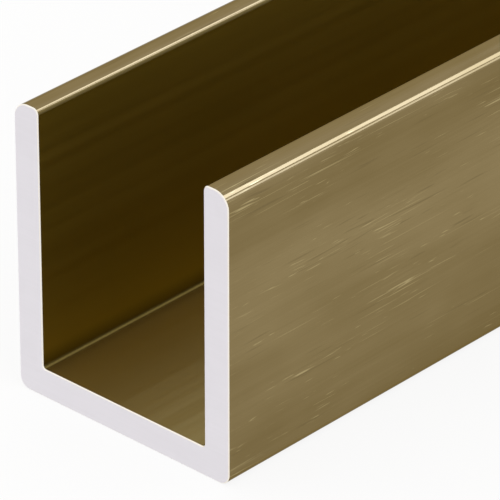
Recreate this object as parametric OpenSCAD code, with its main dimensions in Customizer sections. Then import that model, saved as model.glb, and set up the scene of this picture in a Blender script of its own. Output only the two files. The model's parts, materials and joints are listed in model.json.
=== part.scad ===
// U-channel: one straight length of extruded aluminium stock, sawn square at both ends.
// It lies on the back of its web with the slot open upwards. X runs across the section,
// Y along the length and Z up. The origin is the middle of the underside.

/* [Stock] */
// Length of the piece, from sawn end to sawn end
length = 300; // [50:1:6000]

/* [Section] */
// Width over the outer faces of the two flanges
channel_width = 22; // [14:0.5:60]
// Height from the back of the web to the tips of the flanges
channel_height = 25; // [12:0.5:60]
// Thickness of the web
web_thickness = 2.5; // [1:0.1:5]
// Thickness of each flange
flange_thickness = 2.5; // [1:0.1:5]

/* [Edges] */
// Radius of the two heels, the outer corners between web and flange
heel_radius = 1; // [0.2:0.1:2.5]
// Radius of the fillets in the two inside corners of the slot
fillet_radius = 0.3; // [0.2:0.1:4]
// Radius on the outer edge of each flange tip
tip_outer_radius = 1.4; // [0.2:0.1:1.5]
// Radius on the inner edge of each flange tip
tip_inner_radius = 0.5; // [0.2:0.1:1]

/* [Hidden] */
$fn = 64;

// Bronze anodised skin
bronze = [0.51, 0.44, 0.30];

// How far a cutting shape reaches past the face that it cuts
overcut = 1;

// Least flat width left between the two rounds of a flange tip
tip_flat_min = 0.2;

// The slot between the flanges
slot_width = channel_width - 2 * flange_thickness;
slot_depth = channel_height - web_thickness;

// Rounds as cut, each limited by the wall or slot that it sits on
heel = min(heel_radius, web_thickness, flange_thickness);
fillet = min(fillet_radius, slot_width / 2, slot_depth);
tip_fit = min(1, (flange_thickness - tip_flat_min) / (tip_outer_radius + tip_inner_radius));
tip_outer = tip_fit * tip_outer_radius;
tip_inner = tip_fit * tip_inner_radius;

// The same shape on both sides of the section's centre line
module both_sides() {
    children();
    mirror([1, 0]) children();
}

// What an arc of radius r takes off a corner that stands at the origin
// and opens into the first quadrant
module corner_waste(r) {
    difference() {
        translate([-overcut, -overcut]) square(r + overcut);
        translate([r, r]) circle(r);
    }
}

// Outer outline of the section, with its heels and the outer edges of the tips rounded
module outline() {
    difference() {
        translate([-channel_width / 2, 0]) square([channel_width, channel_height]);
        both_sides() translate([-channel_width / 2, 0]) {
            corner_waste(heel);
            translate([0, channel_height]) mirror([0, 1]) corner_waste(tip_outer);
        }
    }
}

// The slot, with filleted inside corners and the inner edges of the tips rounded
module slot() {
    difference() {
        translate([-slot_width / 2, web_thickness]) square([slot_width, slot_depth + overcut]);
        both_sides() translate([-slot_width / 2, web_thickness]) corner_waste(fillet);
    }
    both_sides() translate([slot_width / 2, channel_height]) mirror([0, 1]) corner_waste(tip_inner);
}

// The section, drawn in X and Y with its web along the X axis
module section() {
    difference() {
        outline();
        slot();
    }
}

// The extruded channel, laid along Y
module u_channel() {
    color(bronze) rotate([90, 0, 0]) linear_extrude(length, center = true) section();
}

u_channel();
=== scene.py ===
"""A straight length of bronze anodised U-channel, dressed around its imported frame.

The channel gets a brushed outer skin, a plain extruded slot and bare sawn ends, and lies on
a pale studio floor. Everything is in metres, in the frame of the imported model.
"""

import json
import logging
import math
from dataclasses import dataclass
from enum import Enum, IntEnum

import bpy
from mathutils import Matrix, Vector


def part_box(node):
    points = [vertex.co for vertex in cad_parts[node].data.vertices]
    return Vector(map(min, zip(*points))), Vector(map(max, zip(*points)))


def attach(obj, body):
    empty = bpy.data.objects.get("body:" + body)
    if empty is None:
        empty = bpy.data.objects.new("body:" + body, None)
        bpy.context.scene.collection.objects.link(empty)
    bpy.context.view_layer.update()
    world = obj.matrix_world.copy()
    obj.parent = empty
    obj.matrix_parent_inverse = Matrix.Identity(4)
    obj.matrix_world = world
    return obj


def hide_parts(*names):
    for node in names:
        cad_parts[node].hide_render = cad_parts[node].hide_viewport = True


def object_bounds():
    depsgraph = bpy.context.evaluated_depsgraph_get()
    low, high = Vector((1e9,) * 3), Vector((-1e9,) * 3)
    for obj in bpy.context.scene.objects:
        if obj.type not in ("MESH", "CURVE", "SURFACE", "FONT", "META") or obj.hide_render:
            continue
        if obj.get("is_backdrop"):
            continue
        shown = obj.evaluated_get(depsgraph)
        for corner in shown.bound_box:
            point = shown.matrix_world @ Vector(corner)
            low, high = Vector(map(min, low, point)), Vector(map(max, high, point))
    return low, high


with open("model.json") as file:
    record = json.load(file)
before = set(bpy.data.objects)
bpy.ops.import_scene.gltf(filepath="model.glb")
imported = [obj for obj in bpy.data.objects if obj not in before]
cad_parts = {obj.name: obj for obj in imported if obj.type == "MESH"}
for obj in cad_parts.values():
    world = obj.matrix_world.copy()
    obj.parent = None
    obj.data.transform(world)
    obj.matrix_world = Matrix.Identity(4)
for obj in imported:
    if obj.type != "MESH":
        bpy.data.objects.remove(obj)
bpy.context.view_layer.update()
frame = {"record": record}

Socket = bpy.types.NodeSocket
Tree = bpy.types.NodeTree

MM = 0.001
WHITE = "#FFFFFF"
SEATS = {mount["name"]: mount["pos_m"] for mount in frame["record"]["mounts"]}
SLOT_FLOOR = SEATS["slot_floor"][2]
log = logging.getLogger("u_channel")


class MixSocket(IntEnum):
    """Places of the sockets on a Mix node that mixes colours."""

    FACTOR = 0
    FIRST = 6
    SECOND = 7
    RESULT = 2


class Skin(IntEnum):
    """The surfaces of the channel, in the order of its material slots."""

    BRUSHED = 0
    TIP = 1
    WALL = 2
    ROUND = 3
    FLOOR = 4
    FILLET = 5
    SAWN = 6
    EDGE = 7


class Band(IntEnum):
    """The bands of faces along the channel, each between two rings of points."""

    NEAR_EDGE = 0
    LONG_SIDES = 1
    FAR_EDGE = 2


class Side(Enum):
    """The side on which air lies, for someone who walks along a chain of section points."""

    RIGHT = 1
    LEFT = -1


def to_linear(hex_colour: str) -> tuple[float, float, float, float]:
    """Turns an sRGB hex colour into linear light.

    Args:
        hex_colour: a hash sign and six hex digits.

    Returns:
        Red, green, blue and an alpha of 1.
    """
    shares = [int(hex_colour[i:i + 2], 16) / 255 for i in (1, 3, 5)]
    red, green, blue = (
        share / 12.92 if share <= 0.04045 else ((share + 0.055) / 1.055) ** 2.4 for share in shares
    )
    return red, green, blue, 1.0


def add_node(
    tree: Tree, kind: str, inputs: dict | None = None, **settings: str
) -> bpy.types.Node:
    """Adds a node with its settings, its values and its links.

    Args:
        tree: the node tree that takes the node.
        kind: Blender's name for the type of node.
        inputs: for each input, by name or place, a value or the output that feeds it.
        **settings: properties of the node.

    Returns:
        The new node.
    """
    node = tree.nodes.new(kind)
    for name, value in settings.items():
        setattr(node, name, value)
    for key, value in (inputs or {}).items():
        if isinstance(value, Socket):
            tree.links.new(value, node.inputs[key])
        else:
            node.inputs[key].default_value = value
    return node


def weighted_sum(tree: Tree, parts: list[tuple[Socket, float]]) -> Socket:
    """Adds outputs up, each with its weight.

    Args:
        tree: the node tree that they belong to.
        parts: outputs and their weights.

    Returns:
        The sum.
    """
    total = 0.0
    for value, weight in parts:
        step = {0: value, 1: weight, 2: total}
        node = add_node(tree, "ShaderNodeMath", step, operation="MULTIPLY_ADD")
        total = node.outputs["Value"]
    return total


@dataclass(frozen=True)
class Grain:
    """Noise whose grains have a real size along X, Y and Z, in millimetres.

    Each grain holds octaves of finer grain, the shift sets two patterns of one size apart, and
    grains wander from a straight row by so many grains. The weight is for a sum of patterns.
    """

    size_mm: tuple[float, float, float]
    octaves: float
    shift: float
    wander: float = 0.0
    weight: float = 1.0


@dataclass(frozen=True)
class Mark:
    """A kind of mark on a brushed skin.

    It shows where its grain, helped by wear, rises through the range from low to high, and
    hides at most the share of the skin that its strength says.
    """

    grain: Grain
    wear: float
    low: float
    high: float
    strength: float


class MetalTree:
    """A metal's node tree, with the patterns that lie along the channel.

    The finer share is the weight of each octave of a grain against the one before. The relief
    counts as low and as high at the two ends of its usual range.
    """

    finer_share: float = 0.6
    relief_low: float = 0.3
    relief_high: float = 0.7

    def __init__(self, name: str) -> None:
        """Starts an empty material.

        Args:
            name: name of the material.
        """
        self.material = bpy.data.materials.new(name)
        self.material.use_nodes = True
        self.tree = self.material.node_tree
        self.tree.nodes.clear()
        self.place = add_node(self.tree, "ShaderNodeTexCoord").outputs["Object"]

    def pattern(self, grain: Grain) -> Socket:
        """Draws a grain over the channel.

        Args:
            grain: size and kind of the grain.

        Returns:
            A value from 0 to 1, mostly near 0.5.
        """
        mapped = add_node(
            self.tree,
            "ShaderNodeMapping",
            {
                "Vector": self.place,
                "Scale": [1 / (size * MM) for size in grain.size_mm],
                "Location": [grain.shift] * 3,
            },
        )
        noise = add_node(
            self.tree,
            "ShaderNodeTexNoise",
            {
                "Vector": mapped.outputs["Vector"],
                "Scale": 1.0,
                "Detail": grain.octaves,
                "Roughness": self.finer_share,
                "Distortion": grain.wander,
            },
        )
        return noise.outputs["Fac"]

    def laid(
        self,
        under: Socket | str,
        over: str,
        pattern: Socket,
        low: float,
        high: float,
        most: float = 1.0,
    ) -> Socket:
        """Lays a colour over another where a pattern stands out.

        Args:
            under: the colour below, as a hex colour or an output.
            over: the colour above, as a hex colour.
            pattern: what decides where the upper colour shows.
            low: pattern value at which the upper colour starts to show.
            high: pattern value at which it shows most.
            most: share of the upper colour there.

        Returns:
            The mixed colour.
        """
        amount = add_node(
            self.tree,
            "ShaderNodeMapRange",
            {"Value": pattern, "From Min": low, "From Max": high, "To Min": 0.0, "To Max": most},
            interpolation_type="SMOOTHSTEP",
        )
        mixed = add_node(
            self.tree,
            "ShaderNodeMix",
            {
                MixSocket.FACTOR: amount.outputs["Result"],
                MixSocket.FIRST: to_linear(under) if isinstance(under, str) else under,
                MixSocket.SECOND: to_linear(over),
            },
            data_type="RGBA",
        )
        return mixed.outputs[MixSocket.RESULT]

    def finish(
        self,
        colour: Socket,
        relief: Socket,
        relief_mm: float,
        gloss: tuple[float, float],
        slant: str,
    ) -> bpy.types.Material:
        """Joins the patterns to a metal shader.

        Args:
            colour: colour of the metal.
            relief: pattern of the fine relief, from 0 to 1, which also moves the roughness.
            relief_mm: height of that relief in millimetres.
            gloss: roughness in the low and in the high places of the relief.
            slant: hex colour that takes the white off reflections seen at a slant.

        Returns:
            The finished material.
        """
        roughness = add_node(
            self.tree,
            "ShaderNodeMapRange",
            {
                "Value": relief,
                "From Min": self.relief_low,
                "From Max": self.relief_high,
                "To Min": gloss[0],
                "To Max": gloss[1],
            },
            interpolation_type="SMOOTHSTEP",
        )
        bump = add_node(
            self.tree,
            "ShaderNodeBump",
            {"Height": relief, "Distance": relief_mm * MM, "Strength": 1.0},
        )
        shader = add_node(
            self.tree,
            "ShaderNodeBsdfPrincipled",
            {
                "Base Color": colour,
                "Metallic": 1.0,
                "Roughness": roughness.outputs["Result"],
                "Specular Tint": to_linear(slant),
                "Normal": bump.outputs["Normal"],
            },
        )
        add_node(self.tree, "ShaderNodeOutputMaterial", {"Surface": shader.outputs["BSDF"]})
        return self.material


@dataclass(frozen=True)
class MetalFinish:
    """A metal whose tone drifts between two colours, with fine relief.

    The grains add up to the tone, and the first of them is the relief too.
    """

    name: str
    dark: str
    light: str
    gloss: tuple[float, float]
    grains: tuple[Grain, ...] = ()
    tone_low: float = 0.3
    tone_high: float = 0.7
    relief_mm: float = 0.0005
    slant: str = WHITE

    def material(self) -> bpy.types.Material:
        """Builds the material of the finish.

        Returns:
            The material.
        """
        metal = MetalTree(self.name)
        patterns = [metal.pattern(grain) for grain in self.grains]
        weights = [grain.weight for grain in self.grains]
        tone = weighted_sum(metal.tree, list(zip(patterns, weights)))
        colour = metal.laid(self.dark, self.light, tone, self.tone_low, self.tone_high)
        colour = self.marked(metal, colour)
        return metal.finish(colour, patterns[0], self.relief_mm, self.gloss, self.slant)

    def marked(self, metal: MetalTree, colour: Socket) -> Socket:
        """Gives the colour as it is, for a finish without marks."""
        return colour


@dataclass(frozen=True)
class BrushedBronze(MetalFinish):
    """Bronze anodised aluminium, brushed along its length before it was anodised.

    The eye sees a satin khaki gold with fine lines along the piece, a few short bright
    scratches, and a slow drift between lighter and darker bands. The light passes the dyed
    film twice, so the metal stays bronze where it is seen at a slant.
    """

    # Brush lines are about 0.02 mm wide on the real piece, and are drawn wider so that they
    # show. After them come bands, clouds and the slow drift.
    grains: tuple[Grain, ...] = (
        Grain((0.16, 24.0, 0.16), octaves=1.0, shift=0.0, weight=0.07),
        Grain((2.2, 40.0, 2.2), octaves=2.0, shift=7.0, weight=0.17),
        Grain((6.0, 11.0, 6.0), octaves=2.0, shift=19.0, weight=0.18),
        Grain((9.0, 400.0, 9.0), octaves=0.0, shift=18.26, weight=0.40),
    )
    tone_low: float = 0.29
    tone_high: float = 0.57
    relief_mm: float = 0.003
    slant: str = "#C4BCAE"
    scratch: str = "#C2B284"
    stain: str = "#6E5F40"
    worn: Grain = Grain((3.5, 16.0, 3.5), octaves=1.0, shift=49.9)
    smears: Mark = Mark(
        Grain((0.22, 6.0, 0.22), octaves=1.0, shift=43.0, wander=0.4),
        wear=0.3,
        low=0.78,
        high=0.95,
        strength=0.5,
    )
    nicks: Mark = Mark(
        Grain((0.13, 3.2, 0.13), octaves=1.0, shift=31.0, wander=0.8),
        wear=0.4,
        low=0.90,
        high=1.02,
        strength=0.6,
    )
    scores: Mark = Mark(
        Grain((0.14, 14.0, 0.14), octaves=1.0, shift=57.0, wander=0.8),
        wear=0.4,
        low=0.91,
        high=1.03,
        strength=0.7,
    )

    def marked(self, metal: MetalTree, colour: Socket) -> Socket:
        """Adds smears, nicks and scores, which gather where the skin was rubbed.

        Args:
            metal: the node tree of the finish.
            colour: colour of the clean skin.

        Returns:
            The colour with its marks.
        """
        worn = metal.pattern(self.worn)
        marks = ((self.smears, self.stain), (self.nicks, self.scratch), (self.scores, self.scratch))
        for mark, tint in marks:
            parts = [(metal.pattern(mark.grain), mark.grain.weight), (worn, mark.wear)]
            shown = weighted_sum(metal.tree, parts)
            colour = metal.laid(colour, tint, shown, mark.low, mark.high, mark.strength)
        return colour


@dataclass(frozen=True)
class SlotBronze(MetalFinish):
    """Bronze anodised aluminium as it left the die, inside the slot where no brush reaches.

    The eye sees a plainer, duller and deeper bronze with very faint draw lines from the die.
    A wall may be drawn darker at its foot, as painted shade where it meets the slot's floor.
    """

    grains: tuple[Grain, ...] = (
        Grain((0.9, 160.0, 0.9), octaves=2.0, shift=3.0, weight=0.3),
        Grain((8.0, 18.0, 8.0), octaves=1.0, shift=23.0, weight=0.7),
    )
    slant: str = "#B09C78"
    foot: str | None = None
    foot_top: float = SLOT_FLOOR + 1.8 * MM
    foot_bottom: float = SLOT_FLOOR + 0.3 * MM

    def marked(self, metal: MetalTree, colour: Socket) -> Socket:
        """Paints shade on the foot of a wall.

        Args:
            metal: the node tree of the finish.
            colour: colour of the rest.

        Returns:
            The colour, with painted shade towards the slot's floor where the finish has a foot.
        """
        if self.foot is None:
            return colour
        place = add_node(metal.tree, "ShaderNodeSeparateXYZ", {"Vector": metal.place})
        # Painted shade: darker towards the slot's floor, from the foot's top down to its bottom.
        return metal.laid(colour, self.foot, place.outputs["Z"], self.foot_top, self.foot_bottom)


@dataclass(frozen=True)
class BareAluminium(MetalFinish):
    """Bare aluminium, cut by a fine saw or rubbed bright where an edge was broken.

    The eye sees a pale, even grey with very faint marks across the wall.
    """

    grains: tuple[Grain, ...] = (
        Grain((7.0, 7.0, 0.25), octaves=2.0, shift=5.0, weight=0.6),
        Grain((3.0, 3.0, 3.0), octaves=1.0, shift=11.0, weight=0.4),
    )


FINISHES = {
    Skin.BRUSHED: BrushedBronze(
        "brushed_bronze_anodised_aluminium", "#7C6B46", "#92815C", (0.11, 0.15)
    ),
    # Painted light: what faces up at the tips is drawn lighter than the sides, though it is the
    # same brushed metal.
    Skin.TIP: BrushedBronze("lit_top_bronze_anodised_aluminium", "#82714C", "#9B8A67", (0.08, 0.11)),
    # Painted shade: the walls are drawn darker and deeper than the slot's floor, and darker still
    # at their foot, though both are the same metal.
    Skin.WALL: SlotBronze(
        "shaded_wall_bronze_anodised_aluminium", "#8D772B", "#937C31", (0.43, 0.47), foot="#726022"
    ),
    Skin.ROUND: SlotBronze("dull_bronze_anodised_aluminium", "#827244", "#8A7A4C", (0.66, 0.70)),
    # Painted light: the slot's floor is drawn lighter and less saturated than its walls.
    Skin.FLOOR: SlotBronze(
        "lit_floor_bronze_anodised_aluminium", "#9B8956", "#A18F5C", (0.40, 0.44)
    ),
    # Painted shade: the fillets in the slot's corners are drawn darker than its floor.
    Skin.FILLET: SlotBronze("corner_shaded_bronze_anodised_aluminium", "#736230", "#796836", (0.54, 0.58)),
    Skin.SAWN: BareAluminium("sawn_bare_aluminium", "#EFECF0", "#F2EFF3", (0.64, 0.68)),
    # The broken edges are bare metal rubbed bright, and are drawn near white and warm as a painted
    # highlight around each sawn end.
    Skin.EDGE: BareAluminium("rubbed_and_highlit_bare_aluminium", "#FFF6E8", "#FFFBF2", (0.34, 0.40)),
}


@dataclass(frozen=True)
class Corner:
    """A corner of the section before it is rounded."""

    x: float
    z: float
    radius: float = 0.0


@dataclass(frozen=True)
class SectionPoint:
    """A point on the outline of the section, with the way that its surface faces."""

    x: float
    z: float
    normal_x: float
    normal_z: float

    def placed(self, y: float, depth: float) -> tuple[float, float, float]:
        """Where the point lies at y along the channel, sunk into the metal by depth."""
        return self.x - depth * self.normal_x, y, self.z - depth * self.normal_z


@dataclass
class Section:
    """The U section, as an outer and an inner chain of points from the left tip to the right.

    Both chains have a rounded corner at each of the same four places, with as many points,
    so that the wall between them divides into quads. A point at hold beside each arc keeps
    the flat faces flat. The flange and the radii are the solid's, which the frame doesn't state.
    """

    width: float
    height: float
    web: float
    flange: float = 2.5 * MM
    heel_radius: float = 1.0 * MM
    fillet_radius: float = 0.3 * MM
    tip_outer_radius: float = 1.4 * MM
    tip_inner_radius: float = 0.5 * MM
    hold: float = 0.05 * MM
    arc_steps: int = 12

    def outer(self) -> list[SectionPoint]:
        """Walks the outside, from the left tip round the web to the right tip.

        Returns:
            The points of the outer chain.
        """
        half = self.width / 2
        tip = half - self.flange / 2
        return self.rounded(
            [
                Corner(-tip, self.height),
                Corner(-half, self.height, self.tip_outer_radius),
                Corner(-half, 0.0, self.heel_radius),
                Corner(half, 0.0, self.heel_radius),
                Corner(half, self.height, self.tip_outer_radius),
                Corner(tip, self.height),
            ],
            Side.RIGHT,
        )

    def inner(self) -> list[SectionPoint]:
        """Walks the slot, from the left tip over the floor to the right tip.

        Returns:
            The points of the inner chain.
        """
        half = self.width / 2 - self.flange
        tip = half + self.flange / 2
        return self.rounded(
            [
                Corner(-tip, self.height),
                Corner(-half, self.height, self.tip_inner_radius),
                Corner(-half, self.web, self.fillet_radius),
                Corner(half, self.web, self.fillet_radius),
                Corner(half, self.height, self.tip_inner_radius),
                Corner(tip, self.height),
            ],
            Side.LEFT,
        )

    def rounded(self, path: list[Corner], air: Side) -> list[SectionPoint]:
        """Rounds the square corners of a path.

        Args:
            path: corners, where the first and the last only give a direction.
            air: side of the path on which air lies.

        Returns:
            For each corner the points of its arc, between two points on the straight runs.
        """
        points = []
        for before, corner, after in zip(path, path[1:], path[2:]):
            come = Vector((corner.x - before.x, corner.z - before.z)).normalized()
            leave = Vector((after.x - corner.x, after.z - corner.z)).normalized()
            centre = Vector((corner.x, corner.z)) + corner.radius * (leave - come)
            arc = []
            for step in range(self.arc_steps + 1):
                turn = math.pi / 2 * step / self.arc_steps
                place = centre + corner.radius * (math.sin(turn) * come - math.cos(turn) * leave)
                arc.append((place, math.cos(turn) * come + math.sin(turn) * leave))
            arc.insert(0, (arc[0][0] - self.hold * come, come))
            arc.append((arc[-1][0] + self.hold * leave, leave))
            for place, heading in arc:
                normal_x, normal_z = air.value * heading.y, -air.value * heading.x
                points.append(SectionPoint(place.x, place.y, normal_x, normal_z))
        return points


@dataclass
class Channel:
    """The extruded channel: one piece, sawn square at both ends with the edges just broken.

    What faces up by more than lit_top_rise at the top is tip, and a face in the slot is flat
    when it faces within flat_limit of level or of straight up.
    """

    section: Section
    near: float
    far: float
    edge_break: float = 0.08 * MM
    lit_top_rise: float = 0.5
    flat_limit: float = 0.001
    name: str = "channel"

    def build(self) -> bpy.types.Object:
        """Makes the mesh of the channel.

        Returns:
            The channel, linked to the scene.
        """
        outer = self.section.outer()
        ring = outer + self.section.inner()[::-1]
        faces, skins = self.bands(ring, len(outer))
        ends = self.ends(len(outer), len(ring))
        skins += [Skin.SAWN] * len(ends)
        mesh = bpy.data.meshes.new(self.name)
        mesh.from_pydata(self.points(ring), [], faces + ends)
        mesh.polygons.foreach_set("material_index", skins)
        mesh.polygons.foreach_set("use_smooth", [skin < Skin.SAWN for skin in skins])
        mesh.update()
        # The edges around both ends are sharp, so that the long faces keep normals square to
        # the length.
        for edge in mesh.edges:
            start, end = (mesh.vertices[i].co.y for i in edge.vertices)
            edge.use_edge_sharp = abs(start - end) < self.edge_break / 2
        channel = bpy.data.objects.new(self.name, mesh)
        bpy.context.scene.collection.objects.link(channel)
        return channel

    def points(self, ring: list[SectionPoint]) -> list[tuple[float, float, float]]:
        """Repeats the ring of section points at the four places where the bands meet.

        Args:
            ring: outer and inner chain in one round.

        Returns:
            The points, ring after ring from the near end to the far end.
        """
        places = (
            (self.near, self.edge_break),
            (self.near + self.edge_break, 0.0),
            (self.far - self.edge_break, 0.0),
            (self.far, self.edge_break),
        )
        return [point.placed(y, depth) for y, depth in places for point in ring]

    def bands(
        self, ring: list[SectionPoint], outer_count: int
    ) -> tuple[list[tuple[int, int, int, int]], list[Skin]]:
        """Spans the long sides and the broken edges at both ends with quads.

        Args:
            ring: outer and inner chain in one round.
            outer_count: how many of its points are on the outer chain.

        Returns:
            The quads, and the skin of each.
        """
        count = len(ring)
        faces = []
        skins = []
        for band in Band:
            low, high = band * count, (band + 1) * count
            for i in range(count):
                after = (i + 1) % count
                faces.append((low + i, high + i, high + after, low + after))
                skin = self.skin_of(ring[i], ring[after], i >= outer_count)
                skins.append(skin if band is Band.LONG_SIDES else Skin.EDGE)
        return faces, skins

    @staticmethod
    def ends(outer_count: int, count: int) -> list[tuple[int, int, int, int]]:
        """Spans the wall at both sawn ends with quads, from the outer chain to the inner.

        Args:
            outer_count: how many points of a ring are on the outer chain.
            count: how many points a ring has.

        Returns:
            The quads of the near end and of the far end in turn.
        """
        faces = []
        last = len(Band) * count
        for i in range(outer_count - 1):
            across, across_after = count - 1 - i, count - 2 - i
            faces.append((i, i + 1, across_after, across))
            faces.append((last + i, last + across, last + across_after, last + i + 1))
        return faces

    def skin_of(self, first: SectionPoint, second: SectionPoint, inside: bool) -> Skin:
        """Says which surface a strip of the long sides belongs to.

        Args:
            first: section point at one edge of the strip.
            second: section point at the other edge.
            inside: whether the strip is on the inner chain.

        Returns:
            The tips' skin, painted lighter, for what faces up at the top, the brushed skin for the
            rest of the outside, or else the part of the slot.
        """
        rise = (first.normal_z + second.normal_z) / 2
        high_up = first.z > self.section.height / 2
        # Painted light: this part takes the lighter tip colour.
        if high_up and rise > self.lit_top_rise:
            return Skin.TIP
        if not inside:
            return Skin.BRUSHED
        if rise < self.flat_limit:
            return Skin.WALL
        if rise > 1 - self.flat_limit:
            return Skin.FLOOR
        return Skin.ROUND if high_up else Skin.FILLET

    def dress(self, channel: bpy.types.Object) -> None:
        """Gives the channel its finishes and hands it to the frame.

        Args:
            channel: the built channel.
        """
        for skin in Skin:
            channel.data.materials.append(FINISHES[skin].material())
        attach(channel, "root")
        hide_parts("u_channel")


@dataclass(frozen=True)
class SoftBox:
    """A glowing panel that hangs over the channel and faces a point near one end.

    Its lean is the turn from straight up towards +X, and its tilt the turn towards +Y, both
    in degrees.
    """

    lean: float
    width: float
    glow: float
    tilt: float = 40.0
    length: float = 0.32
    reach: float = 0.36
    colour: str = "#C9D7FF"

    def build(self, faced: Vector) -> None:
        """Hangs the panel, which only reflections show.

        Args:
            faced: the point that the panel faces.
        """
        light = bpy.data.lights.new("softbox", "AREA")
        light.shape = "RECTANGLE"
        light.size, light.size_y = self.width, self.length
        light.color = to_linear(self.colour)[:3]
        light.energy = self.glow * math.pi * self.width * self.length
        box = bpy.data.objects.new("softbox", light)
        box.rotation_euler = (-math.radians(self.tilt), math.radians(self.lean), 0.0)
        box.location = faced + box.rotation_euler.to_matrix() @ Vector((0.0, 0.0, self.reach))
        box.visible_camera = False
        box.visible_diffuse = False
        bpy.context.scene.collection.objects.link(box)


@dataclass
class Studio:
    """The pale floor, the white surroundings, three softboxes and the camera.

    The camera's azimuth and elevation are in degrees, and its lens is in millimetres.
    """

    near: float
    floor_half: float = 12.0
    floor_drop: float = 0.02 * MM
    floor_colour: str = "#F8F7F5"
    camera_white: float = 0.88
    mirror_white: float = 0.8
    room_light: float = 1.0
    boxes: tuple[SoftBox, ...] = (
        SoftBox(lean=32.0, width=0.101, glow=4.5),
        SoftBox(lean=53.5, width=0.050, glow=3.1),
        SoftBox(
            lean=-24.0,
            width=0.073,
            glow=36.0,
            tilt=55.0,
            length=0.070,
            reach=0.28,
            colour="#AEC4FF",
        ),
    )
    lit_behind_end: float = 30.0 * MM
    lit_z: float = 20.0 * MM
    azimuth: float = 42.75
    elevation: float = 29.52
    aim_x: float = 6.01 * MM
    aim_behind_end: float = 7.73 * MM
    aim_z: float = 15.33 * MM
    camera_reach: float = 415.5 * MM
    lens: float = 398.9
    clip_near: float = 0.01
    clip_far: float = 100.0

    def build(self) -> None:
        """Sets up the surroundings, the floor, the softboxes and the camera."""
        self.surroundings()
        self.floor()
        faced = Vector((0.0, self.near + self.lit_behind_end, self.lit_z))
        for box in self.boxes:
            box.build(faced)
        self.camera()
        bpy.context.scene.view_settings.view_transform = "Standard"

    def surroundings(self) -> None:
        """Makes the world, a white room whose light is even all round."""
        world = bpy.data.worlds.new("white_room")
        world.use_nodes = True
        tree = world.node_tree
        tree.nodes.clear()
        room = {"Color": to_linear(WHITE), "Strength": self.room_light}
        light = add_node(tree, "ShaderNodeBackground", room)
        add_node(tree, "ShaderNodeOutputWorld", {"Surface": light.outputs["Background"]})
        bpy.context.scene.world = world

    def floor(self) -> None:
        """Makes the floor, which keeps part of the channel's shadow under its white."""
        half = self.floor_half
        mesh = bpy.data.meshes.new("floor")
        corners = [(-half, -half), (half, -half), (half, half), (-half, half)]
        mesh.from_pydata([(x, y, -self.floor_drop) for x, y in corners], [], [(0, 1, 2, 3)])
        floor = bpy.data.objects.new("floor", mesh)
        bpy.context.scene.collection.objects.link(floor)
        material = bpy.data.materials.new("pale_studio_floor")
        material.use_nodes = True
        tree = material.node_tree
        tree.nodes.clear()
        lit = add_node(tree, "ShaderNodeBsdfDiffuse", {"Color": to_linear(self.floor_colour)})
        white = add_node(tree, "ShaderNodeEmission", {"Color": to_linear(WHITE), "Strength": 1.0})
        mixed = add_node(
            tree,
            "ShaderNodeMixShader",
            {0: self.white_share(tree), 1: lit.outputs["BSDF"], 2: white.outputs["Emission"]},
        )
        add_node(tree, "ShaderNodeOutputMaterial", {"Surface": mixed.outputs["Shader"]})
        mesh.materials.append(material)
        floor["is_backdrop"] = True

    def white_share(self, tree: Tree) -> Socket:
        """How much plain white a ray sees in place of the lit floor, by what kind of ray it is.

        Args:
            tree: node tree of the floor.

        Returns:
            The share, which is 0 for a ray that no camera, metal or glass sends.
        """
        path = add_node(tree, "ShaderNodeLightPath")
        shares = {
            "Is Camera Ray": self.camera_white,
            "Is Glossy Ray": self.mirror_white,
            "Is Transmission Ray": self.mirror_white,
        }
        return weighted_sum(tree, [(path.outputs[ray], share) for ray, share in shares.items()])

    def camera(self) -> None:
        """Places the camera at the photograph's angle."""
        turn, rise = math.radians(self.azimuth), math.radians(self.elevation)
        level = math.cos(rise)
        back = Vector((math.sin(turn) * level, -math.cos(turn) * level, math.sin(rise)))
        aim = Vector((self.aim_x, self.near + self.aim_behind_end, self.aim_z))
        lens = bpy.data.cameras.new("camera")
        lens.lens = self.lens
        lens.clip_start, lens.clip_end = self.clip_near, self.clip_far
        camera = bpy.data.objects.new("camera", lens)
        camera.location = aim + self.camera_reach * back
        camera.rotation_mode = "QUATERNION"
        camera.rotation_quaternion = back.to_track_quat("Z", "Y")
        bpy.context.scene.collection.objects.link(camera)
        bpy.context.scene.camera = camera


def main() -> None:
    """Builds the studio and the channel."""
    logging.basicConfig(level=logging.INFO, format="%(name)s: %(message)s")
    low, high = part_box("u_channel")
    Studio(near=low.y).build()
    log.info("studio built")
    section = Section(width=high.x - low.x, height=high.z - low.z, web=SLOT_FLOOR)
    maker = Channel(section, near=low.y, far=high.y)
    channel = maker.build()
    maker.dress(channel)
    log.info("%s built with %d faces", channel.name, len(channel.data.polygons))
    low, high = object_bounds()


if __name__ == "__main__":
    main()
